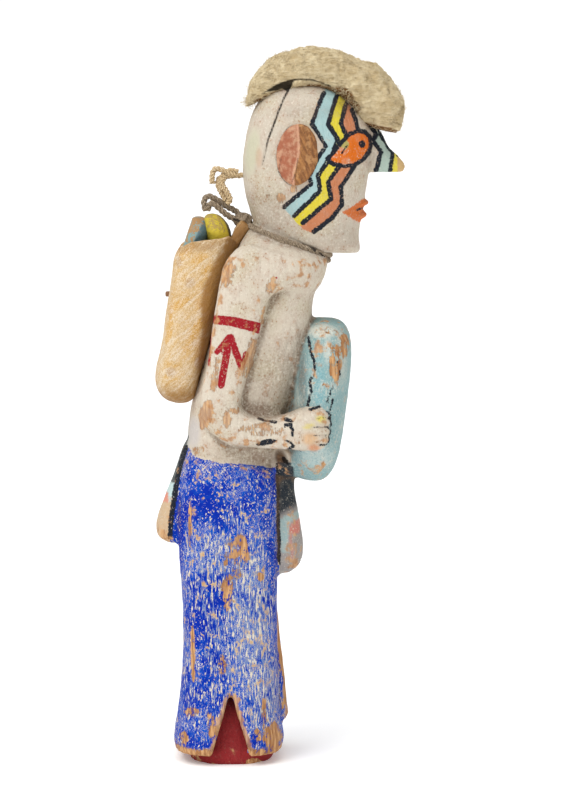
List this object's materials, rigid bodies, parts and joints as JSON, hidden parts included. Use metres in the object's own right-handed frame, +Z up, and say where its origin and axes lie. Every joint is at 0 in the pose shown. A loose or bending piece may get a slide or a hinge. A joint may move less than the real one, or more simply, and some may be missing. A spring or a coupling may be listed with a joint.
{
  "type": "carved kachina doll",
  "caption": "Carved and painted wooden kachina doll with ears, fleece strip, pouch and strings, standing on a round base",
  "frame": {"origin": "centre of the base's flat underside, on the surface that the doll stands on", "axes": "+Z up along the doll's height, -Y the way the doll faces, -X its right hand"},
  "size_m": [0.0596, 0.0972, 0.2786],
  "materials": {
    "figure": "worn whitewash and matt paint over carved wood",
    "ears": "worn terracotta paint over wood",
    "bag": "matt ochre, rubbed",
    "lump_blue": "worn blue-grey paint over wood",
    "lump_yellow": "matt yellow paint",
    "peg": "bare dark wood",
    "fleece": "cream wool on hide",
    "string": "twisted cotton string"
  },
  "bodies": {
    "root": {"figure": "figure", "ear_right": "ears", "ear_left": "ears", "bag": "bag", "lump_blue": "lump_blue", "lump_yellow": "lump_yellow", "bag_peg": "peg", "fleece": "fleece", "neck_cord": "string", "head_tie": "string"}
  },
  "joints": []
}
